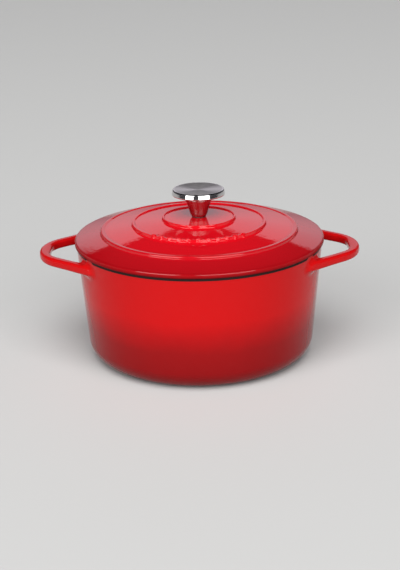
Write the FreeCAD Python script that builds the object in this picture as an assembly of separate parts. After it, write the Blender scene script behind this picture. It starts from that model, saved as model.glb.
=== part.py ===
import FreeCAD, Part
import math
import os

# An enamelled cast iron dutch oven: a round pot with two loop handles cast on, a stepped domed
# lid, and a stainless knob held by one screw from under the lid.
# Millimetres. The origin is the centre of the base, +Z is up, +X runs along the two handles.

# Pot
POT_HEIGHT = 119.0  # the rim that the lid rests on
POT_BASE_R = 114.5  # where the line of the outer wall would meet the ground
WALL_LEAN = 0.0856  # outward lean of the wall, radius gained per mm of height
POT_CORNER_R = 20.8  # outer corner between wall and base
WALL = 4.2
BASE = 5.0
FOOT_INNER_R = 84.0  # the flat foot ring is from here out to the corner
FOOT_RECESS = 0.8
RIM_ROUND = 1.6
RIM_INNER_ROUND = 1.0

# Loop handles, drawn in plan on the +X side
HANDLE_Z = 107.9  # mid height of the bar
HANDLE_THICK = 8.8
HANDLE_REACH = 162.8  # outermost point, from the pot's axis
HANDLE_BAR = 11.2  # width of the bar at its outermost point
HANDLE_ARM = math.radians(38.7)  # angle of each arm from the X axis
HANDLE_CORNER_Y = 23.0  # where outer face and outer side of an arm would meet
HANDLE_CORNER_R = 47.0
LOOP_CORNER_Y = 20.0  # the same for the finger opening
LOOP_CORNER_R = 25.0
HANDLE_EDGE_R = 2.8
HANDLE_ROOT_X = 92.0  # the arms run this far into the pot's wall

# Lid
LID_R = 126.3  # foot of the rounded edge, which leans in by LID_EDGE_LEAN
LID_EDGE_LEAN = 0.4
LID_EDGE_TOP = 123.6  # where the dome's slope would meet the edge
LID_EDGE_ROUND = 1.5
LID_FOOT_ROUND = 0.9
LID_THICK = 3.5
LID_RIB_OUTER_R = 118.6  # rib that drops inside the pot's mouth
LID_RIB_WIDTH = 3.6
LID_RIB_DROP = 3.4
LID_RIB_DRAFT = 0.5
LID_RIB_ROOT_Z = 122.9  # where the rib's inner side meets the dome
RING_FEET = [(100.2, 129.5), (68.2, 136.1), (37.4, 141.0)]  # radius and height of each outer foot
RING_FOOT_ROUND = 0.5
RING_RUN = 0.5  # radius from a ring's outer foot to its front crest corner
RING_RISE = 3.1
# rounding of each front crest, width of the crest, then run and drop behind it
RING_CRESTS = [(1.5, 2.8, 1.8, 0.5), (0.6, 2.0, 1.4, 1.1), (0.6, 1.4, 0.8, 1.3)]
RING_BACK_ROUND = 0.9
SEAT_R = 8.6  # flat under the knob
SEAT_Z = 143.2
BOSS_R = 12.0
BOSS_FLANK = 2.0  # width of the sloping flank round the boss
BOSS_Z = 137.6  # underside of the boss that the screw pulls against

# Knob, on the lid's axis
GASKET_R = 7.0
GASKET_THICK = 0.6
STEM_FOOT_R = 7.0
STEM_LINE = [(8.6, 146.4, 4.0), (10.5, 153.0, 20.0)]  # radius, height, rounding
STEM_TOP_R = 13.6
STEM_TOP_Z = 162.0
CAP_TOP_Z = 172.0
CAP_EDGE = [(26.3, 166.3, 0.5), (26.8, 167.2, 0.5), (25.9, CAP_TOP_Z, 1.5)]  # radius, height, rounding
INSERT_R = 5.0
INSERT_LENGTH = 14.0

# M6 screw and its washers, under the lid
SCREW_R = 3.0
THREAD_CLEARANCE = 0.05  # the plain bore of the insert is this much wider than the plain shank
CLEARANCE_HOLE_R = 3.3
SCREW_LENGTH = 20.0
HEAD_R = 6.0
HEAD_THICK = 3.7
RECESS_ARM = 3.4  # cross recess: half length, width and depth
RECESS_WIDTH = 1.3
RECESS_DEPTH = 2.0
WASHER_R = 7.0
WASHER_THICK = 1.2
SPRING_R = 5.9
SPRING_THICK = 1.6
SPRING_GAP = 1.0

X_AXIS = FreeCAD.Vector(1, 0, 0)
Y_AXIS = FreeCAD.Vector(0, 1, 0)
Z_AXIS = FreeCAD.Vector(0, 0, 1)
ORIGIN = FreeCAD.Vector(0, 0, 0)


def rounded_face(corners):
    """A face from corners (point, radius), each corner cut by a tangent arc of its radius."""
    starts, ends, middles = [], [], []
    for i, (corner, radius) in enumerate(corners):
        before = (corners[i - 1][0] - corner).normalize()
        after = (corners[(i + 1) % len(corners)][0] - corner).normalize()
        half = before.getAngle(after) / 2
        reach = radius / math.tan(half)
        bisector = (before + after).normalize()
        starts.append(corner + before * reach)
        ends.append(corner + after * reach)
        middles.append(corner + bisector * (radius / math.sin(half) - radius))
    edges = []
    for i, (_, radius) in enumerate(corners):
        if radius > 0:
            edges.append(Part.Arc(starts[i], middles[i], ends[i]).toShape())
        edges.append(Part.LineSegment(ends[i], starts[(i + 1) % len(corners)]).toShape())
    return Part.Face(Part.Wire(edges))


def turned(profile):
    """A solid of revolution about Z from corners (radius from the axis, height, rounding)."""
    corners = [(FreeCAD.Vector(r, 0, z), rounding) for r, z, rounding in profile]
    return rounded_face(corners).revolve(ORIGIN, Z_AXIS, 360)


def plate(outline, low, thickness):
    """A flat plate from corners (x, y, rounding), from height low."""
    corners = [(FreeCAD.Vector(x, y, low), rounding) for x, y, rounding in outline]
    return rounded_face(corners).extrude(Z_AXIS * thickness)


def tube(outer_r, inner_r, low, height):
    """A plain ring about the Z axis."""
    foot = FreeCAD.Vector(0, 0, low)
    return Part.makeCylinder(outer_r, height, foot).cut(Part.makeCylinder(inner_r, height, foot))


def wall_r(z):
    """Radius of the pot's outer wall at a height."""
    return POT_BASE_R + WALL_LEAN * z


def arm_side(corner_x, corner_y):
    """Where an arm's side, from its corner at (corner_x, corner_y), reaches the root's x."""
    return corner_y + (corner_x - HANDLE_ROOT_X) * math.tan(HANDLE_ARM)


def handle():
    """The loop on the +X side: a flat D with rounded edges, its arms sunk in the wall."""
    low = HANDLE_Z - HANDLE_THICK / 2
    loop_x = HANDLE_REACH - HANDLE_BAR
    outer_root_y = arm_side(HANDLE_REACH, HANDLE_CORNER_Y)
    loop_root_y = arm_side(loop_x, LOOP_CORNER_Y)
    outer = [
        (HANDLE_ROOT_X, -outer_root_y, 0),
        (HANDLE_REACH, -HANDLE_CORNER_Y, HANDLE_CORNER_R),
        (HANDLE_REACH, HANDLE_CORNER_Y, HANDLE_CORNER_R),
        (HANDLE_ROOT_X, outer_root_y, 0),
    ]
    loop = [
        (HANDLE_ROOT_X, -loop_root_y, 0),
        (loop_x, -LOOP_CORNER_Y, LOOP_CORNER_R),
        (loop_x, LOOP_CORNER_Y, LOOP_CORNER_R),
        (HANDLE_ROOT_X, loop_root_y, 0),
    ]
    bar = plate(outer, low, HANDLE_THICK).cut(plate(loop, low, HANDLE_THICK))
    long_edges = [edge for edge in bar.Edges if lies_flat(edge) and not on_root(edge)]
    return bar.makeFillet(HANDLE_EDGE_R, long_edges)


def lies_flat(edge):
    box = edge.BoundBox
    return box.ZLength < 1e-6


def on_root(edge):
    box = edge.BoundBox
    return box.XMax < HANDLE_ROOT_X + 1e-6


def pot_casting():
    """The pot and both handles, one casting, with a shallow recess inside its foot ring."""
    body = turned([
        (0, 0, 0),
        (POT_BASE_R, 0, POT_CORNER_R),
        (wall_r(POT_HEIGHT), POT_HEIGHT, RIM_ROUND),
        (0, POT_HEIGHT, 0),
    ])
    cavity = turned([
        (0, BASE, 0),
        (wall_r(BASE) - WALL, BASE, POT_CORNER_R - WALL),
        (wall_r(POT_HEIGHT) - WALL, POT_HEIGHT, 0),
        (0, POT_HEIGHT, 0),
    ])
    right = handle()
    left = right.mirror(ORIGIN, X_AXIS)
    foot_recess = Part.makeCylinder(FOOT_INNER_R, FOOT_RECESS)
    casting = body.fuse([right, left]).cut([cavity, foot_recess]).removeSplitter()
    mouth = [e for e in casting.Edges if at_mouth(e)]
    return casting.makeFillet(RIM_INNER_ROUND, mouth)


def at_mouth(edge):
    """The inner edge of the pot's rim."""
    box = edge.BoundBox
    inner_r = wall_r(POT_HEIGHT) - WALL
    return box.ZMin > POT_HEIGHT - 1e-3 and abs(box.XMax - inner_r) < 1e-3


def lid_top():
    """The lid's outer line from its edge to the knob's seat, with its three raised rings."""
    line = []
    for (foot_r, foot_z), (crest_round, crest_width, back_run, back_drop) in zip(RING_FEET, RING_CRESTS):
        front_r, crest_z = foot_r - RING_RUN, foot_z + RING_RISE
        back_r = front_r - crest_width
        line += [
            (foot_r, foot_z, RING_FOOT_ROUND),
            (front_r, crest_z, crest_round),
            (back_r, crest_z, RING_BACK_ROUND),
            (back_r - back_run, crest_z - back_drop, RING_BACK_ROUND),
        ]
    return line + [(SEAT_R, SEAT_Z, 0), (CLEARANCE_HOLE_R, SEAT_Z, 0)]


def lid_underside():
    """The lid's inner line from the screw boss out to its flange, one wall below the rings' feet."""
    under_feet = [(r - LID_THICK / 2, z - LID_THICK, 6.0) for r, z in reversed(RING_FEET)]
    rib_inner_r = LID_RIB_OUTER_R - LID_RIB_WIDTH
    rib_z = POT_HEIGHT - LID_RIB_DROP
    return [
        (CLEARANCE_HOLE_R, BOSS_Z, 0),
        (BOSS_R, BOSS_Z, 1.0),
        (BOSS_R + BOSS_FLANK, SEAT_Z - LID_THICK, 2.0),
        *under_feet,
        (rib_inner_r - LID_RIB_DRAFT, LID_RIB_ROOT_Z, 2.0),
        (rib_inner_r, rib_z, 1.2),
        (LID_RIB_OUTER_R - LID_RIB_DRAFT, rib_z, 1.2),
        (LID_RIB_OUTER_R, POT_HEIGHT, 0),
    ]


def lid_casting():
    """The domed lid: ground flange on the rim, locating rib inside it, hole for the screw."""
    edge = [
        (LID_R, POT_HEIGHT, LID_FOOT_ROUND),
        (LID_R - LID_EDGE_LEAN, LID_EDGE_TOP, LID_EDGE_ROUND),
    ]
    return turned([*lid_underside(), *edge, *lid_top()])


def knob_stem():
    """Flared foot of the knob, bored from below for its threaded insert."""
    foot_z = SEAT_Z + GASKET_THICK
    stem = turned([
        (0, foot_z, 0),
        (STEM_FOOT_R, foot_z, 0.8),
        *STEM_LINE,
        (STEM_TOP_R, STEM_TOP_Z, 0),
        (0, STEM_TOP_Z, 0),
    ])
    return stem.cut(Part.makeCylinder(INSERT_R, INSERT_LENGTH, FreeCAD.Vector(0, 0, foot_z)))


def knob_cap():
    """The mushroom disc that the fingers hold."""
    return turned([
        (0, STEM_TOP_Z, 0),
        (STEM_TOP_R, STEM_TOP_Z, 0),
        *CAP_EDGE,
        (0, CAP_TOP_Z, 0),
    ])


def knob_insert():
    """Threaded bush pressed in the stem."""
    bore_r = SCREW_R + THREAD_CLEARANCE
    return tube(INSERT_R, bore_r, SEAT_Z + GASKET_THICK, INSERT_LENGTH)


def knob_gasket():
    """Thin heat-proof washer between stem and enamel."""
    return tube(GASKET_R, CLEARANCE_HOLE_R, SEAT_Z, GASKET_THICK)


def flat_washer():
    return tube(WASHER_R, CLEARANCE_HOLE_R, BOSS_Z - WASHER_THICK, WASHER_THICK)


def spring_washer():
    """Split washer, closed flat by the tightened screw."""
    low = BOSS_Z - WASHER_THICK - SPRING_THICK
    ring = tube(SPRING_R, CLEARANCE_HOLE_R, low, SPRING_THICK)
    gap = Part.makeBox(SPRING_R, SPRING_GAP, SPRING_THICK, FreeCAD.Vector(0, -SPRING_GAP / 2, low))
    return ring.cut(gap)


def knob_screw():
    """M6 pan head screw, its plain shank standing for the thread, with a cross recess."""
    head_top = BOSS_Z - WASHER_THICK - SPRING_THICK
    head_low = head_top - HEAD_THICK
    screw = turned([
        (0, head_low, 0),
        (HEAD_R, head_low, 1.8),
        (HEAD_R, head_top, 0),
        (SCREW_R, head_top, 0),
        (SCREW_R, head_top + SCREW_LENGTH, 0.6),
        (0, head_top + SCREW_LENGTH, 0),
    ])
    arm = Part.makeBox(
        2 * RECESS_ARM, RECESS_WIDTH, RECESS_DEPTH,
        FreeCAD.Vector(-RECESS_ARM, -RECESS_WIDTH / 2, head_low),
    )
    crossed = arm.rotated(ORIGIN, Z_AXIS, 90)
    return screw.cut([arm, crossed])


NODES = {
    "pot_casting": pot_casting,
    "lid_casting": lid_casting,
    "knob_gasket": knob_gasket,
    "knob_stem": knob_stem,
    "knob_insert": knob_insert,
    "knob_cap": knob_cap,
    "flat_washer": flat_washer,
    "spring_washer": spring_washer,
    "knob_screw": knob_screw,
}

os.makedirs("parts", exist_ok=True)
for node, make in NODES.items():
    shape = make()
    if len(shape.Solids) != 1 or not shape.isValid():
        raise ValueError(f"{node} is not one valid solid")
    shape.Solids[0].exportStep(f"parts/{node}.step")
    box = shape.BoundBox
    print(f"{node}: {shape.Volume / 1000:.2f} cm3, z {box.ZMin:.2f} to {box.ZMax:.2f}")
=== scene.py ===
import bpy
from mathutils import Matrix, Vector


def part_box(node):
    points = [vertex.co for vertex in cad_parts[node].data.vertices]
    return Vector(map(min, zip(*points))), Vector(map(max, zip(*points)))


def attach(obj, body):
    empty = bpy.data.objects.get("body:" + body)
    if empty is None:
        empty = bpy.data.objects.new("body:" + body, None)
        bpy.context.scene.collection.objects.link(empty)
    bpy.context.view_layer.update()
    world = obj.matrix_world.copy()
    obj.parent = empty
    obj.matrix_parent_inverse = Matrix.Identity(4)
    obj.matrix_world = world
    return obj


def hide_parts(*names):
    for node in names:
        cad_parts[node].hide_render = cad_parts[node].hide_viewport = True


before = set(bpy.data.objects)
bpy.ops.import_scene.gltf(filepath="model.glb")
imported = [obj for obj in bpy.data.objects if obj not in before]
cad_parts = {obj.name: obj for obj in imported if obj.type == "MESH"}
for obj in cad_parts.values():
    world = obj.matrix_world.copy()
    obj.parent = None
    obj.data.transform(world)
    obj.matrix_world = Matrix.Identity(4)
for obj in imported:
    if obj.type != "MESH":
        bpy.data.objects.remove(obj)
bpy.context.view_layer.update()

import math
import bpy
import numpy as np
from mathutils import Matrix, Vector


# ---------------------------------------------------------------------------
# Pot
# The body of the oven, cast in iron with its two loop handles and then coated:
# red vitreous enamel outside, light sand enamel inside, matt black on the ground rim and foot.

MM = 0.001  # sizes are in millimetres, and new_piece turns them to metres
RED, SAND, BLACK = 0, 1, 2  # material slots of the coats that both castings have


def rounded(corners, closed=False, arc_step=0.35, straight_step=1.2):
    """An outline from corners (r, z, radius, coat). Each corner is cut by the arc tangent to its two
    sides, and each straight has points that crowd towards its ends as half a cosine does, so that
    smooth shading keeps it straight. Returns the points and the coat of the stretch after each."""
    places = np.array([corner[:2] for corner in corners], float)
    count = len(corners)
    arcs = []
    for i, (_, _, radius, _) in enumerate(corners):
        here = places[i]
        if radius == 0 or (not closed and i in (0, count - 1)):
            arcs.append(here[None])
            continue
        before, after = places[i - 1] - here, places[(i + 1) % count] - here
        before, after = before / np.hypot(*before), after / np.hypot(*after)
        half = math.acos(np.clip(before @ after, -1, 1)) / 2
        middle = here + (before + after) / np.hypot(*(before + after)) * radius / math.sin(half)
        start = here + before * radius / math.tan(half) - middle
        turn = math.pi - 2 * half
        side = np.sign(start[0] * -before[1] + start[1] * before[0])
        steps = np.linspace(0, side * turn, max(5, math.ceil(turn * radius / arc_step)) + 1)
        cos, sin = np.cos(steps), np.sin(steps)
        arcs.append(middle + np.stack([start[0] * cos - start[1] * sin,
                                       start[0] * sin + start[1] * cos], 1))
    points, coats = [], []
    for i in range(count if closed else count - 1):
        arc, follow = arcs[i], arcs[(i + 1) % count]
        length = np.hypot(*(follow[0] - arc[-1]))
        rows = max(4, min(14, int(length / straight_step)))
        share = 0.5 - 0.5 * np.cos(np.linspace(0, np.pi, rows + 1))
        straight = arc[-1] + share[:-1, None] * (follow[0] - arc[-1])
        stretch = np.concatenate([arc[:-1], straight])
        points.append(stretch)
        coats += [corners[i][3]] * len(stretch)
    if not closed:
        points.append(arcs[-1])
    return np.concatenate(points), np.array(coats)


def lathe(corners, steps, closed=False):
    """A surface turned about Z: the outline point (r, z) goes to (r cos a, r sin a, z) at each angle a,
    and a point on the axis is one vertex with a fan round it. An outline that runs counterclockwise
    in the (r, z) plane gives faces that point outwards."""
    outline, coats = rounded(corners, closed)
    angle = np.arange(steps) * 2 * np.pi / steps
    r, z = outline[:, 0], outline[:, 1]
    ring = np.stack([r[:, None] * np.cos(angle), r[:, None] * np.sin(angle),
                     np.broadcast_to(z[:, None], (len(r), steps))], 2)
    on_axis = r < 1e-6
    verts = np.concatenate([row[:1] if pole else row for row, pole in zip(ring, on_axis)])
    first = np.concatenate([[0], np.cumsum(np.where(on_axis, 1, steps))])
    here, following = np.arange(steps), np.arange(1, steps + 1) % steps
    faces, slots = [], []
    for i in range(len(r) if closed else len(r) - 1):
        j = (i + 1) % len(r)
        low, low_next = first[i] + here, first[i] + following
        high, high_next = first[j] + here, first[j] + following
        if on_axis[i]:
            band = np.stack([np.full(steps, first[i]), high_next, high], 1)
        elif on_axis[j]:
            band = np.stack([low, low_next, np.full(steps, first[j])], 1)
        else:
            band = np.stack([low, low_next, high_next, high], 1)
        faces += band.tolist()
        slots += [int(coats[i])] * steps
    return verts, faces, slots


def new_piece(name, shells, materials, sharp_deg=35):
    """One mesh object from shells (vertices in mm, faces, material slot of each face)."""
    verts, faces, slots = [], [], []
    start = 0
    for shell_verts, shell_faces, shell_slots in shells:
        verts.append(np.asarray(shell_verts) * MM)
        faces += [[start + i for i in face] for face in shell_faces]
        slots += list(shell_slots)
        start += len(shell_verts)
    mesh = bpy.data.meshes.new(name)
    mesh.from_pydata(np.concatenate(verts).tolist(), [], faces)
    for material in materials:
        mesh.materials.append(material)
    mesh.polygons.foreach_set("material_index", np.array(slots, np.int32))
    mesh.shade_smooth()
    mesh.set_sharp_from_angle(angle=math.radians(sharp_deg))
    piece = bpy.data.objects.new(name, mesh)
    bpy.context.scene.collection.objects.link(piece)
    return piece


def linear(hexcode):
    """An sRGB hex colour as linear RGBA."""
    srgb = np.array([int(hexcode[i:i + 2], 16) for i in (1, 3, 5)]) / 255
    channels = np.where(srgb <= 0.04045, srgb / 12.92, ((srgb + 0.055) / 1.055) ** 2.4)
    return (*channels.tolist(), 1.0)


def surface(name, **sockets):
    """A material with a Principled shader, its even values set on the shader's own sockets."""
    material = bpy.data.materials.new(name)
    material.use_nodes = True
    shader = material.node_tree.nodes["Principled BSDF"]
    for key, value in sockets.items():
        shader.inputs[key.replace("_", " ")].default_value = value
    return material, material.node_tree, shader


def add(tree, kind, inputs=None, stops=None, **settings):
    """Adds a shader node. settings are its properties, inputs maps a socket to a value or to another
    node's output, and stops are the (position, hex colour) pairs of a colour ramp."""
    node = tree.nodes.new(kind)
    for key, value in settings.items():
        setattr(node, key, value)
    for key, value in (inputs or {}).items():
        if isinstance(value, bpy.types.NodeSocket):
            tree.links.new(value, node.inputs[key])
        else:
            node.inputs[key].default_value = value
    if stops:
        elements = node.color_ramp.elements
        while len(elements) < len(stops):
            elements.new(1.0)
        for element, (position, hexcode) in zip(elements, stops):
            element.position = position
            element.color = linear(hexcode)
    return node


def glassy_skin(tree, shader, place, peel_um=30, sag_um=70):
    """Fired enamel is never quite flat: orange peel some 5 mm across over slow waves of the casting."""
    waves = add(tree, "ShaderNodeTexNoise", {"Vector": place, "Scale": 1 / (32 * MM), "Detail": 1.0})
    sag = add(tree, "ShaderNodeBump", {"Height": waves.outputs["Fac"], "Distance": sag_um * 1e-6})
    dimples = add(tree, "ShaderNodeTexNoise", {"Vector": place, "Scale": 1 / (5 * MM), "Detail": 2.0})
    peel = add(tree, "ShaderNodeBump", {"Height": dimples.outputs["Fac"], "Distance": peel_um * 1e-6,
                                        "Normal": sag.outputs["Normal"]})
    tree.links.new(peel.outputs["Normal"], shader.inputs["Normal"])


def pot_enamel():
    """Red vitreous enamel sprayed in two coats: bright at the rim, dark cherry towards the base."""
    material, tree, shader = surface("red_fade_enamel", Roughness=0.06, IOR=1.5, Specular_IOR_Level=0.15)
    place = add(tree, "ShaderNodeTexCoord").outputs["Object"]
    glassy_skin(tree, shader, place)
    height = add(tree, "ShaderNodeSeparateXYZ", {"Vector": place}).outputs["Z"]
    clouds = add(tree, "ShaderNodeTexNoise", {"Vector": place, "Scale": 1 / (20 * MM), "Detail": 3.0})
    drift = add(tree, "ShaderNodeMath", {0: clouds.outputs["Fac"], 1: 8 * MM, 2: height},
                operation="MULTIPLY_ADD")
    share = add(tree, "ShaderNodeMapRange", {"Value": drift.outputs[0], "From Min": 4 * MM,
                                             "From Max": 124 * MM})
    fade = add(tree, "ShaderNodeValToRGB", {"Fac": share.outputs[0]}, stops=[
        (0.0, "#600406"), (0.17, "#780508"), (0.33, "#80070A"), (0.47, "#98080B"), (0.6, "#AC090B"),
        (0.72, "#AC0A0C"), (1.0, "#AA0B0D")])
    tree.links.new(fade.outputs["Color"], shader.inputs["Base Color"])
    return material


def sand_enamel():
    """Light sand enamel of the cooking surface: glossy, with faint cloudiness from firing."""
    material, tree, shader = surface("sand_enamel", Roughness=0.14, IOR=1.5)
    place = add(tree, "ShaderNodeTexCoord").outputs["Object"]
    glassy_skin(tree, shader, place)
    clouds = add(tree, "ShaderNodeTexNoise", {"Vector": place, "Scale": 1 / (25 * MM), "Detail": 3.0})
    tone = add(tree, "ShaderNodeValToRGB", {"Fac": clouds.outputs["Fac"]},
               stops=[(0.35, "#D6CCB4"), (0.65, "#DCD2BB")])
    tree.links.new(tone.outputs["Color"], shader.inputs["Base Color"])
    return material


def black_enamel():
    """Matt black ground coat, left bare where lid and pot meet and on the foot: gritty, not glassy.
    Its grit, really about 0.1 mm, is drawn at 0.8 mm so that it shows."""
    material, tree, shader = surface("matt_black_ground_coat", Roughness=0.6, Specular_IOR_Level=0.15)
    place = add(tree, "ShaderNodeTexCoord").outputs["Object"]
    grit = add(tree, "ShaderNodeTexNoise", {"Vector": place, "Scale": 1 / (0.8 * MM), "Detail": 2.0})
    tone = add(tree, "ShaderNodeValToRGB", {"Fac": grit.outputs["Fac"]},
               stops=[(0.3, "#120B0A"), (0.7, "#221614")])
    bump = add(tree, "ShaderNodeBump", {"Height": grit.outputs["Fac"], "Distance": 20e-6})
    tree.links.new(tone.outputs["Color"], shader.inputs["Base Color"])
    tree.links.new(bump.outputs["Normal"], shader.inputs["Normal"])
    return material


COATS = [pot_enamel(), sand_enamel(), black_enamel()]

POT_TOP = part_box("pot_casting")[1].z / MM
WALL_FOOT_R, WALL_LEAN = 114.5, 0.0856  # radius of the outer wall at the ground, and its growth per mm
WALL, FLOOR_THICK, BASE_CORNER = 4.2, 5.0, 20.8
FOOT_R, FOOT_RECESS = 84.0, 0.8  # the base is hollow by the recess inside its flat foot ring
FOOT_BLACK = 10.0  # width of the bare coat on the foot ring
RIM_BLACK_AND_SHADE_OUTSIDE, RIM_BLACK_INSIDE = 2.6, 3.0  # how far down the wall the rim's bare coat reaches; on the outside the band is also painted shade, as deep as the shade line under the lid's overhang


def wall_r(z):
    """Radius of the outer wall at a height."""
    return WALL_FOOT_R + WALL_LEAN * z


outer_band_z, inner_band_z = POT_TOP - RIM_BLACK_AND_SHADE_OUTSIDE, POT_TOP - RIM_BLACK_INSIDE
pot_body = lathe([
    (0, FOOT_RECESS, 0, BLACK),
    (FOOT_R, FOOT_RECESS, 0.3, BLACK),
    (FOOT_R, 0.0, 0.3, BLACK),
    (FOOT_R + FOOT_BLACK, 0.0, 0, RED),
    (wall_r(0), 0.0, BASE_CORNER, RED),
    # the black band on the outer wall below the rim is partly the bare rim coat and partly painted shade
    # under the lid's overhang
    (wall_r(outer_band_z), outer_band_z, 0, BLACK),
    (wall_r(POT_TOP), POT_TOP, 1.4, BLACK),
    (wall_r(POT_TOP) - WALL, POT_TOP, 1.0, BLACK),
    (wall_r(inner_band_z) - WALL, inner_band_z, 0, SAND),
    (wall_r(FLOOR_THICK) - WALL, FLOOR_THICK, BASE_CORNER - WALL, SAND),
    (0, FLOOR_THICK, 0, SAND),
], steps=256)

HANDLE_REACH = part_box("pot_casting")[1].x / MM
HANDLE_BAR, HANDLE_HALF_H, HANDLE_Z = 11.2, 4.4, 107.9  # width, half height and mid height of the bar
HANDLE_ARM_DEG = 38.7  # each arm's angle from the X axis
SQUIRCLE_POWER = 3.4  # 2 would make the bar's section an ellipse, and more makes it squarer
ARM_LENGTH, ARM_SAMPLES = 75, 400
ARM_GROWTH, GROWTH_RUN = 0.16, 45  # the bar's height grows by this share over this much of the arm
SUNK_DEPTHS = (0.6, 1.8)  # the root's last two rings lie inside the wall


def loop_side(reach, corner_y, corner_r, tip_rows=14, bend_rows=28):
    """Half of a handle's outline in plan, from its outermost point round the corner to the arm, and the
    arm's direction. Straight, then an arc of corner_r that turns it to the arm's angle."""
    turn = math.radians(90 - HANDLE_ARM_DEG)
    tangent_y = corner_y - corner_r * math.tan(turn / 2)
    tip = np.stack([np.full(tip_rows, reach), np.linspace(0, tangent_y, tip_rows, endpoint=False)], 1)
    sweep = np.linspace(0, turn, bend_rows)
    bend = np.stack([reach - corner_r + corner_r * np.cos(sweep), tangent_y + corner_r * np.sin(sweep)], 1)
    return np.concatenate([tip, bend]), np.array([-math.sin(turn), math.cos(turn)])


def handle_shell(around=56, arm_rows=26, fillet_rows=12):
    """The loop: a squircle section carried round the plan outline, |x/w|^n + |z/h|^n = 1. Near the wall
    each lengthwise line of the bar meets a ball that rolls between bar and wall, and follows the ball
    round to the wall."""
    outer, heading = loop_side(HANDLE_REACH, corner_y=23.0, corner_r=46.9)
    inner, _ = loop_side(HANDLE_REACH - HANDLE_BAR, corner_y=20.0, corner_r=25.0)
    angle = np.arange(around) * 2 * np.pi / around
    cos, sin = np.cos(angle), np.sin(angle)
    unit_x = np.sign(cos) * np.abs(cos) ** (2 / SQUIRCLE_POWER)
    unit_z = np.sign(sin) * np.abs(sin) ** (2 / SQUIRCLE_POWER)

    def rings(out, inn, half):
        """Section rings between matched outer and inner plan points, with their outward normals."""
        centre, across = (out + inn) / 2, (out - inn) / 2
        width = np.hypot(across[:, 0], across[:, 1])[:, None]
        side = across / width
        half = np.broadcast_to(half, (len(out),))[:, None]
        flat = centre[:, None] + side[:, None] * (width * unit_x)[..., None]
        points = np.concatenate([flat, (HANDLE_Z + half * unit_z)[..., None]], 2)
        lean_x = np.sign(unit_x) * np.abs(unit_x) ** (SQUIRCLE_POWER - 1) / width
        lean_z = np.sign(unit_z) * np.abs(unit_z) ** (SQUIRCLE_POWER - 1) / half
        normals = np.concatenate([side[:, None] * lean_x[..., None], lean_z[..., None]], 2)
        return points, normals / np.linalg.norm(normals, axis=2, keepdims=True)

    bend, _ = rings(outer, inner, HANDLE_HALF_H)
    run = np.linspace(0, ARM_LENGTH, ARM_SAMPLES)[:, None]
    arm_half_h = HANDLE_HALF_H * (1 + np.clip(run[:, 0] / GROWTH_RUN, 0, 1) ** 2 * ARM_GROWTH)
    arm, arm_normals = rings(outer[-1] + run * heading, inner[-1] + run * heading, arm_half_h)
    # radius of the cast fillet on the bar's outer side, finger side, top and bottom, blended between
    sides = zip([16.0, 2.6, 3.4, 7.0], [cos, -cos, sin, -sin])
    ball = sum(radius * np.maximum(part, 0) ** 2 for radius, part in sides)
    centres = arm + arm_normals * ball[:, None]
    slope = math.hypot(1, WALL_LEAN)
    gap = (np.hypot(centres[..., 0], centres[..., 1]) - wall_r(centres[..., 2])) / slope - ball
    touch, line = np.argmax(gap < 0, axis=0), np.arange(around)
    overshoot = gap[touch, line] / (gap[touch, line] - gap[touch - 1, line])
    reach = touch - overshoot

    def along(place):
        """Arm points and normals at fractional row numbers, one for each lengthwise line."""
        low = np.clip(place.astype(int), 0, len(run) - 2)
        rest = (place - low)[:, None]
        return [rows[low, line] * (1 - rest) + rows[low + 1, line] * rest for rows in (arm, arm_normals)]

    straight = np.stack([along(share * reach)[0] for share in np.linspace(0, 1, arm_rows + 1)[1:]])
    last, normal = along(reach)
    normal /= np.linalg.norm(normal, axis=1, keepdims=True)
    centre = last + normal * ball[:, None]
    bearing = np.arctan2(centre[:, 1], centre[:, 0])
    wall_normal = np.stack([np.cos(bearing), np.sin(bearing), np.full(around, -WALL_LEAN)], 1) / slope
    opening = np.arccos(np.clip((normal * wall_normal).sum(1), -1, 1))[:, None]
    step = np.linspace(0, 1, fillet_rows + 1)[1:, None, None]
    turned = np.sin((1 - step) * opening) * normal + np.sin(step * opening) * wall_normal
    fillet = centre - turned / np.sin(opening) * ball[:, None]
    sunk = np.stack([fillet[-1] - wall_normal * depth for depth in SUNK_DEPTHS])
    middle = sunk[-1].mean(0)
    half = np.concatenate([bend, straight, fillet, sunk])
    whole = np.concatenate([half[:0:-1] * [1, -1, 1], half])
    rows = len(whole)
    verts = np.concatenate([whole.reshape(-1, 3), [middle * [1, -1, 1], middle]])
    i, k = np.meshgrid(np.arange(rows - 1) * around, np.arange(around), indexing="ij")
    k_next = (k + 1) % around
    faces = np.stack([i + k, i + k_next, i + around + k_next, i + around + k], 2).reshape(-1, 4).tolist()
    end = (rows - 1) * around
    faces += [[rows * around, (n + 1) % around, n] for n in range(around)]
    faces += [[rows * around + 1, end + n, end + (n + 1) % around] for n in range(around)]
    return verts, faces, [RED] * len(faces)


right_loop = handle_shell()
left_loop = (right_loop[0] * [-1, -1, 1], *right_loop[1:])
pot = new_piece("enamelled_pot", [pot_body, right_loop, left_loop], COATS)
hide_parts("pot_casting")
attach(pot, "pot")


# ---------------------------------------------------------------------------
# Lid
# The second casting, a low dome with three raised rings. Its ground black flange rests on the rim,
# a rib below it keeps it central, and the screw pulls against a flat boss in the middle.

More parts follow.
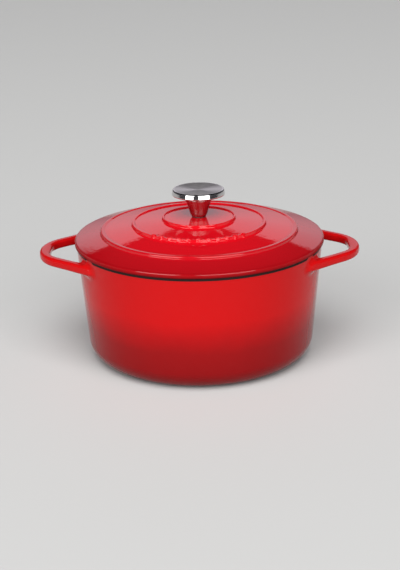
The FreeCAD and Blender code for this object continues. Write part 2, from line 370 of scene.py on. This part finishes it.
def lid_enamel():
    """The same red enamel, brightest in the middle of the lid and deeper on its outer band and edge."""
    material, tree, shader = surface("red_lid_enamel", Roughness=0.04, IOR=1.5, Specular_IOR_Level=0.45)
    place = add(tree, "ShaderNodeTexCoord").outputs["Object"]
    glassy_skin(tree, shader, place, peel_um=50)
    flat = add(tree, "ShaderNodeVectorMath", {0: place, 1: (1, 1, 0)}, operation="MULTIPLY")
    radius = add(tree, "ShaderNodeVectorMath", {0: flat.outputs[0]}, operation="LENGTH")
    clouds = add(tree, "ShaderNodeTexNoise", {"Vector": place, "Scale": 1 / (16 * MM), "Detail": 3.0})
    drift = add(tree, "ShaderNodeMath", {0: clouds.outputs["Fac"], 1: 3 * MM, 2: radius.outputs["Value"]},
                operation="MULTIPLY_ADD")
    share = add(tree, "ShaderNodeMapRange", {"Value": drift.outputs[0], "From Min": 0.0,
                                             "From Max": 129 * MM})
    fade = add(tree, "ShaderNodeValToRGB", {"Fac": share.outputs[0]}, stops=[
        (0.0, "#BE0C18"), (0.72, "#BA0A16"), (0.80, "#A20A14"), (0.96, "#9A0912"), (1.0, "#7E060C")])
    tree.links.new(fade.outputs["Color"], shader.inputs["Base Color"])
    return material


def edge_enamel():
    """The lid's upright edge, where the enamel drains thin and fires dark. Towards its foot, next to the
    pot's rim, its red is darkened further as painted shade.
    """
    material, tree, shader = surface("dark_edge_enamel_and_painted_shade", Roughness=0.25, IOR=1.5, Specular_IOR_Level=0.06)
    place = add(tree, "ShaderNodeTexCoord").outputs["Object"]
    glassy_skin(tree, shader, place)
    height = add(tree, "ShaderNodeSeparateXYZ", {"Vector": place}).outputs["Z"]
    clouds = add(tree, "ShaderNodeTexNoise", {"Vector": place, "Scale": 1 / (12 * MM), "Detail": 3.0})
    drift = add(tree, "ShaderNodeMath", {0: clouds.outputs["Fac"], 1: 1 * MM, 2: height},
                operation="MULTIPLY_ADD")
    # painted shade: by height the edge's red darkens towards its foot, where the lid overhangs the pot's
    # rim
    share = add(tree, "ShaderNodeMapRange", {"Value": drift.outputs[0], "From Min": 120 * MM,
                                             "From Max": 123.5 * MM})
    tone = add(tree, "ShaderNodeValToRGB", {"Fac": share.outputs[0]},
               stops=[(0.0, "#5C0408"), (0.5, "#82060C"), (1.0, "#92080E")])
    tree.links.new(tone.outputs["Color"], shader.inputs["Base Color"])
    return material


LID_THICK = 3.5
SEAT_R, SEAT_Z = 8.6, 143.2  # flat under the knob
BOSS_R, BOSS_Z, BOSS_FLANK = 12.0, 137.6, 2.0  # flat that the screw pulls against, and its slope's width
HOLE_R = 3.3
EDGE_R, EDGE_LEAN, EDGE_TOP_Z = 126.3, 0.4, 123.6
EDGE_BARE = 1.6  # the flange's bare coat ends this far inside the edge
RIB_R, RIB_WIDTH, RIB_DRAFT = 118.6, 3.6, 0.5  # the rib that keeps the lid central
RIB_DROP, RIB_ROOT_RISE = 3.4, 3.9  # from the rim down to its foot, and up to where it meets the dome
# each raised ring: radius and height of its outer foot, rounding and width of its crest, run and drop
# behind it
RINGS = [(100.2, 129.5, 1.5, 2.8, 1.8, 0.5), (68.2, 136.1, 0.6, 2.0, 1.4, 1.1),
         (37.4, 141.0, 0.6, 1.4, 0.8, 1.3)]
RING_RUN, RING_RISE = 0.5, 3.1  # from a ring's outer foot to its front crest
RING_FOOT_ROUND, RING_BACK_ROUND = 0.5, 0.9
EDGE = 3  # slot of the lid's edge enamel, where slot RED holds the lid's own red

lid_under = [
    (HOLE_R, BOSS_Z, 0.3, BLACK),
    (BOSS_R, BOSS_Z, 1.0, SAND),
    (BOSS_R + BOSS_FLANK, SEAT_Z - LID_THICK, 2.0, SAND),
    *[(r - LID_THICK / 2, z - LID_THICK, 6.0, SAND) for r, z, *_ in reversed(RINGS)],
    (RIB_R - RIB_WIDTH - RIB_DRAFT, POT_TOP + RIB_ROOT_RISE, 2.0, BLACK),
    (RIB_R - RIB_WIDTH, POT_TOP - RIB_DROP, 1.2, BLACK),
    (RIB_R - RIB_DRAFT, POT_TOP - RIB_DROP, 1.2, BLACK),
    (RIB_R, POT_TOP, 0.4, BLACK),
    (EDGE_R - EDGE_BARE, POT_TOP, 0, EDGE),
    (EDGE_R, POT_TOP, 0.9, EDGE),
]
lid_top = [(EDGE_R - EDGE_LEAN, EDGE_TOP_Z, 1.5, RED)]
for foot_r, foot_z, crest_round, crest_width, back_run, back_drop in RINGS:
    front_r, crest_z = foot_r - RING_RUN, foot_z + RING_RISE
    back_r = front_r - crest_width
    lid_top += [
        (foot_r, foot_z, RING_FOOT_ROUND, RED),
        (front_r, crest_z, crest_round, RED),
        (back_r, crest_z, RING_BACK_ROUND, RED),
        (back_r - back_run, crest_z - back_drop, RING_BACK_ROUND, RED),
    ]
lid_top += [(SEAT_R, SEAT_Z, 1.0, RED), (HOLE_R, SEAT_Z, 0.3, BLACK)]
LID_COATS = [lid_enamel(), *COATS[1:], edge_enamel()]
lid = new_piece("enamelled_lid", [lathe(lid_under + lid_top, steps=256, closed=True)], LID_COATS)
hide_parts("lid_casting")
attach(lid, "lid")


# ---------------------------------------------------------------------------
# Leaf marks
# A row of small raised leaves cast across the crest of the middle ring, at the front of the lid and
# under the same red enamel.

LEAF_R = 65.4  # their middles lie just behind the middle ring's crest
LEAF_TAPER = 0.45  # share of its width that a leaf loses towards its tips
VEIN_WIDTH, VEIN_DEPTH = 0.45, 0.35  # the middle groove, in mm and as a share of the leaf's height
RIM_SINK, BOTTOM_SINK = 0.4, 2.0  # how deep in the lid a leaf's rim and its closing point lie
lid_r, lid_z = rounded(lid_top)[0][::-1].T  # the lid's top line, by growing radius


def leaf(bearing, length=9.0, width=5.8, height=1.0, sides=40, rows=12):
    """One leaf draped over the lid, in polar steps: s from middle to rim, t round it. In plan it goes
    half its length times s cos t along the radius, and half its width times s sin t, less the taper's
    share of that times cos^2 t, across. Over the lid it rises by its height times 1 - s^4, less a
    groove that is a bell curve of the distance across. Its rim sinks into the lid and closes there."""
    s = np.linspace(0, 1, rows + 1)[1:, None]
    t = np.arange(sides) * 2 * np.pi / sides
    out = length / 2 * s * np.cos(t)
    across = width / 2 * s * np.sin(t) * (1 - LEAF_TAPER * np.cos(t) ** 2)
    rise = height * (1 - s ** 4) * (1 - VEIN_DEPTH * np.exp(-(across / VEIN_WIDTH) ** 2))
    rise[-1] = -RIM_SINK
    r = LEAF_R + out
    plan = np.stack([r * np.cos(bearing) - across * np.sin(bearing),
                     r * np.sin(bearing) + across * np.cos(bearing),
                     np.interp(np.hypot(r, across), lid_r, lid_z) + rise], 2)
    middle_z = np.interp(LEAF_R, lid_r, lid_z)
    top = [LEAF_R * math.cos(bearing), LEAF_R * math.sin(bearing), middle_z + (1 - VEIN_DEPTH) * height]
    bottom = [top[0], top[1], middle_z - BOTTOM_SINK]
    verts = np.concatenate([[top], plan.reshape(-1, 3), [bottom]])
    n = np.arange(sides)
    n_next = (n + 1) % sides
    faces = np.stack([np.zeros(sides, int), 1 + n, 1 + n_next], 1).tolist()
    for row in range(rows - 1):
        low = 1 + row * sides
        faces += np.stack([low + n, low + sides + n, low + sides + n_next, low + n_next], 1).tolist()
    low = 1 + (rows - 1) * sides
    faces += np.stack([low + n, np.full(sides, len(verts) - 1), low + n_next], 1).tolist()
    return verts, faces, [RED] * len(faces)


# eleven of them, from 42 degrees left of the front to 40 degrees right of it
leaf_bearings = np.radians(np.linspace(-90 - 42, -90 + 40, 11))
leaves = new_piece("lid_leaf_marks", [leaf(bearing) for bearing in leaf_bearings], LID_COATS[:1])
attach(leaves, "lid")


# ---------------------------------------------------------------------------
# Knob
# A flared stem of turned stainless steel carries a mushroom cap, pressed on and brushed in circles.

def turned_steel(name, colour, rough, groove_mm, groove_um, along):
    """Stainless steel finished on a lathe: fine grooves run round it, so its highlights stretch across
    them. along picks what the grooves are stepped along, the radius on a face or the height on a side.
    They are drawn several times wider than the real 0.05 to 0.1 mm, so that they show."""
    material, tree, shader = surface(name, Metallic=1.0, Roughness=rough, Anisotropic=0.85,
                                     Anisotropic_Rotation=0.25, Base_Color=linear(colour))
    place = add(tree, "ShaderNodeTexCoord").outputs["Object"]
    flat = add(tree, "ShaderNodeVectorMath", {0: place, 1: (1, 1, 0)}, operation="MULTIPLY")
    radius = add(tree, "ShaderNodeVectorMath", {0: flat.outputs[0]}, operation="LENGTH").outputs["Value"]
    height = add(tree, "ShaderNodeSeparateXYZ", {"Vector": place}).outputs["Z"]
    groove = add(tree, "ShaderNodeTexNoise", {"W": radius if along == "radius" else height,
                                              "Scale": 1 / (groove_mm * MM), "Detail": 3.0},
                 noise_dimensions="1D")
    bump = add(tree, "ShaderNodeBump", {"Height": groove.outputs["Fac"], "Distance": groove_um * 1e-6})
    tangent = add(tree, "ShaderNodeTangent", direction_type="RADIAL", axis="Z")
    tree.links.new(bump.outputs["Normal"], shader.inputs["Normal"])
    tree.links.new(tangent.outputs[0], shader.inputs["Tangent"])
    return material


def polished_steel():
    """The cap's rim, polished to a mirror with a faint haze from the buffing wheel."""
    material, tree, shader = surface("polished_stainless", Metallic=1.0, Base_Color=linear("#CFCDCC"))
    place = add(tree, "ShaderNodeTexCoord").outputs["Object"]
    haze = add(tree, "ShaderNodeTexNoise", {"Vector": place, "Scale": 1 / (4 * MM), "Detail": 2.0})
    rough = add(tree, "ShaderNodeMapRange", {"Value": haze.outputs["Fac"], "To Min": 0.05, "To Max": 0.12})
    tree.links.new(rough.outputs[0], shader.inputs["Roughness"])
    return material


STEM_FOOT, STEM_TOP = (corner.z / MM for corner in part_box("knob_stem"))
CAP_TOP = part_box("knob_cap")[1].z / MM
BORE_R, BORE_TOP = 5.0, 157.8  # for the threaded insert
DISH = 0.9  # the cap's face is hollow by this much
POLISHED, BRUSHED = 0, 1  # slots of the cap's rim and underside, and of its face
stem_steel = turned_steel("turned_stainless", "#C4BEBC", 0.17, 0.5, 2, "height")
cap_steel = [polished_steel(), turned_steel("circle_brushed_stainless", "#BDBAB7", 0.34, 0.4, 3, "radius")]

stem = new_piece("turned_stem", [lathe([
    (BORE_R, STEM_FOOT, 0.2, 0),
    (7.0, STEM_FOOT, 0.8, 0),
    (8.6, 146.4, 4.0, 0),
    (10.5, 153.0, 20.0, 0),
    (13.6, STEM_TOP, 0.1, 0),
    (0, STEM_TOP, 0, 0),
    (0, BORE_TOP, 0, 0),
    (BORE_R, BORE_TOP, 0.1, 0),
], steps=128, closed=True)], [stem_steel])
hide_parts("knob_stem")
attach(stem, "lid")

cap = new_piece("brushed_cap", [lathe([
    (0, STEM_TOP, 0, POLISHED),
    (13.4, STEM_TOP, 0.4, POLISHED),
    (26.3, 166.3, 0.5, POLISHED),
    (26.8, 167.2, 0.5, POLISHED),
    (25.9, CAP_TOP, 1.5, POLISHED),
    (24.4, CAP_TOP, 0, BRUSHED),
    (14.0, CAP_TOP - DISH, 200.0, BRUSHED),
    (0, CAP_TOP - DISH, 0, BRUSHED),
], steps=192)], cap_steel)
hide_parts("knob_cap")
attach(cap, "lid")


# ---------------------------------------------------------------------------
# Gasket, insert, washers and screw
# What holds the knob: a black silicone gasket under the stem, a brass insert in it, and from below
# a steel screw with a flat and a spring washer. They keep their CAD shapes.

def plain_metal(name, dark, light, metallic, rough_low, rough_high, size_mm):
    """A small part's finish: a tone and a roughness that drift over lumps of size_mm, and a fine bump."""
    material, tree, shader = surface(name, Metallic=metallic)
    place = add(tree, "ShaderNodeTexCoord").outputs["Object"]
    lumps = add(tree, "ShaderNodeTexNoise",
                {"Vector": place, "Scale": 1 / (size_mm * MM), "Detail": 3.0}).outputs["Fac"]
    tone = add(tree, "ShaderNodeValToRGB", {"Fac": lumps}, stops=[(0.3, dark), (0.7, light)])
    rough = add(tree, "ShaderNodeMapRange", {"Value": lumps, "To Min": rough_low, "To Max": rough_high})
    bump = add(tree, "ShaderNodeBump", {"Height": lumps, "Distance": 10e-6})
    tree.links.new(tone.outputs["Color"], shader.inputs["Base Color"])
    tree.links.new(rough.outputs[0], shader.inputs["Roughness"])
    tree.links.new(bump.outputs["Normal"], shader.inputs["Normal"])
    return material


silicone = plain_metal("moulded_black_silicone", "#141414", "#1E1E1E", 0.0, 0.5, 0.7, 1.5)
brass = plain_metal("turned_brass", "#B08D45", "#C9A557", 1.0, 0.2, 0.35, 2.0)
zinc = plain_metal("bright_zinc_plating", "#A9ADB2", "#C3C6CA", 1.0, 0.25, 0.4, 2.0)
spring_steel = plain_metal("oiled_spring_steel", "#5E5F62", "#77787B", 1.0, 0.3, 0.45, 1.5)
for node, finish in [("knob_gasket", silicone), ("knob_insert", brass), ("flat_washer", zinc),
                     ("spring_washer", spring_steel), ("knob_screw", zinc)]:
    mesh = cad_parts[node].data
    mesh.materials.clear()
    mesh.materials.append(finish)


# ---------------------------------------------------------------------------
# Studio
# A pale floor, two soft boxes in front, a broad overhead light and a low bright backdrop behind.
# The camera stands 1.2 m in front and looks down at 19 degrees.

FLOOR_HALF = 40.0  # metres, as everything in the studio
floor_mesh = bpy.data.meshes.new("studio_floor")
floor_mesh.from_pydata([(-FLOOR_HALF, -FLOOR_HALF, 0), (FLOOR_HALF, -FLOOR_HALF, 0),
                        (FLOOR_HALF, FLOOR_HALF, 0), (-FLOOR_HALF, FLOOR_HALF, 0)], [], [(0, 1, 2, 3)])
floor = bpy.data.objects.new("studio_floor", floor_mesh)
bpy.context.scene.collection.objects.link(floor)
floor_mesh.materials.append(surface("matt_paper", Base_Color=linear("#BABAB9"), Roughness=0.7,
                                    Specular_IOR_Level=0.1)[0])

world = bpy.data.worlds.new("studio")
bpy.context.scene.world = world
world.use_nodes = True
sky = world.node_tree
way = add(sky, "ShaderNodeSeparateXYZ", {"Vector": add(sky, "ShaderNodeTexCoord").outputs["Generated"]})
# brightness by the sine of the height above the horizon: the backdrop ends at 26 degrees
backdrop = add(sky, "ShaderNodeValToRGB", {"Fac": way.outputs["Z"]}, stops=[
    (0.0, "#9A969E"), (0.12, "#C8C4CC"), (0.25, "#E4E0EA"), (0.435, "#E8E4EE"), (0.445, "#2A2A2B"),
    (1.0, "#2A2A2B")])
# it stands behind the oven, and reaches 15 degrees to the left and 20 to the right of straight back
side = add(sky, "ShaderNodeMath", {0: way.outputs["X"], 1: way.outputs["Y"]}, operation="DIVIDE")
left_edge = add(sky, "ShaderNodeMapRange", {"Value": side.outputs[0], "From Min": -0.276,
                                            "From Max": -0.262})
right_edge = add(sky, "ShaderNodeMapRange", {"Value": side.outputs[0], "From Min": 0.38,
                                             "From Max": 0.36})
behind = add(sky, "ShaderNodeMapRange", {"Value": way.outputs["Y"], "From Min": 0.15,
                                         "From Max": 0.45})
across = add(sky, "ShaderNodeMath", {0: left_edge.outputs[0], 1: right_edge.outputs[0]},
             operation="MULTIPLY")
inside = add(sky, "ShaderNodeMath", {0: across.outputs[0], 1: behind.outputs[0]},
             operation="MULTIPLY")
strength = add(sky, "ShaderNodeMapRange", {"Value": inside.outputs[0], "To Min": 0.16, "To Max": 1.0})
sky.links.new(backdrop.outputs["Color"], sky.nodes["Background"].inputs["Color"])
sky.links.new(strength.outputs[0], sky.nodes["Background"].inputs["Strength"])
# straight to the eye the room is one pale tone, whichever way it is seen
pale_room = add(sky, "ShaderNodeBackground", {"Color": linear("#CFCFCF"), "Strength": 1.0})
seen = add(sky, "ShaderNodeLightPath").outputs["Is Camera Ray"]
room = add(sky, "ShaderNodeMixShader", {0: seen, 1: sky.nodes["Background"].outputs[0],
                                        2: pale_room.outputs[0]})
sky.links.new(room.outputs[0], sky.nodes["World Output"].inputs["Surface"])


AIM = Vector((0, 0, 0.12))  # the lights point at the pot's rim, on the axis


def light(name, kind, place, **settings):
    """A light aimed at the oven."""
    data = bpy.data.lights.new(name, kind)
    for key, value in settings.items():
        setattr(data, key, value)
    lamp = bpy.data.objects.new(name, data)
    lamp.location = place
    lamp.rotation_euler = (AIM - lamp.location).to_track_quat("-Z", "Y").to_euler()
    bpy.context.scene.collection.objects.link(lamp)
    return lamp


def soft_box(name, bearing_deg, rise_deg, width_deg, height_deg, glow, distance=5.0):
    """A rectangular light that looks width by height in degrees from the oven. glow is its radiance, and
    its bearing is counted to the right from straight in front."""
    bearing, rise = math.radians(bearing_deg), math.radians(rise_deg)
    level = math.cos(rise)
    direction = Vector((math.sin(bearing) * level, -math.cos(bearing) * level, math.sin(rise)))
    width, height = (2 * distance * math.tan(math.radians(span / 2)) for span in (width_deg, height_deg))
    box = light(name, "AREA", AIM + direction * distance, shape="RECTANGLE",
                size=width, size_y=height, energy=glow * math.pi * width * height)
    box.visible_camera = False


soft_box("soft_box_left", bearing_deg=-40, rise_deg=22, width_deg=36, height_deg=41, glow=4.5)
soft_box("soft_box_right", bearing_deg=24.5, rise_deg=22, width_deg=49, height_deg=41, glow=3.8)
overhead = light("overhead", "SUN", (0, -1.5, 3), energy=2.9, angle=math.radians(50))
overhead.visible_glossy = False

CAMERA_PLACE = Vector((0, -1.2155, 0.4958))
CAMERA_TURN, CAMERA_TILT, CAMERA_ROLL = 0.011, 19.332, 1.157  # degrees: left, down, clockwise
camera_data = bpy.data.cameras.new("camera")
camera_data.lens, camera_data.sensor_width = 78.87, 36.0
camera = bpy.data.objects.new("camera", camera_data)
camera.matrix_world = (Matrix.Translation(CAMERA_PLACE)
                       @ Matrix.Rotation(math.radians(CAMERA_TURN), 4, "Z")
                       @ Matrix.Rotation(math.radians(90 - CAMERA_TILT), 4, "X")
                       @ Matrix.Rotation(math.radians(-CAMERA_ROLL), 4, "Z"))
bpy.context.scene.collection.objects.link(camera)
bpy.context.scene.camera = camera
bpy.context.scene.view_settings.view_transform = "Standard"
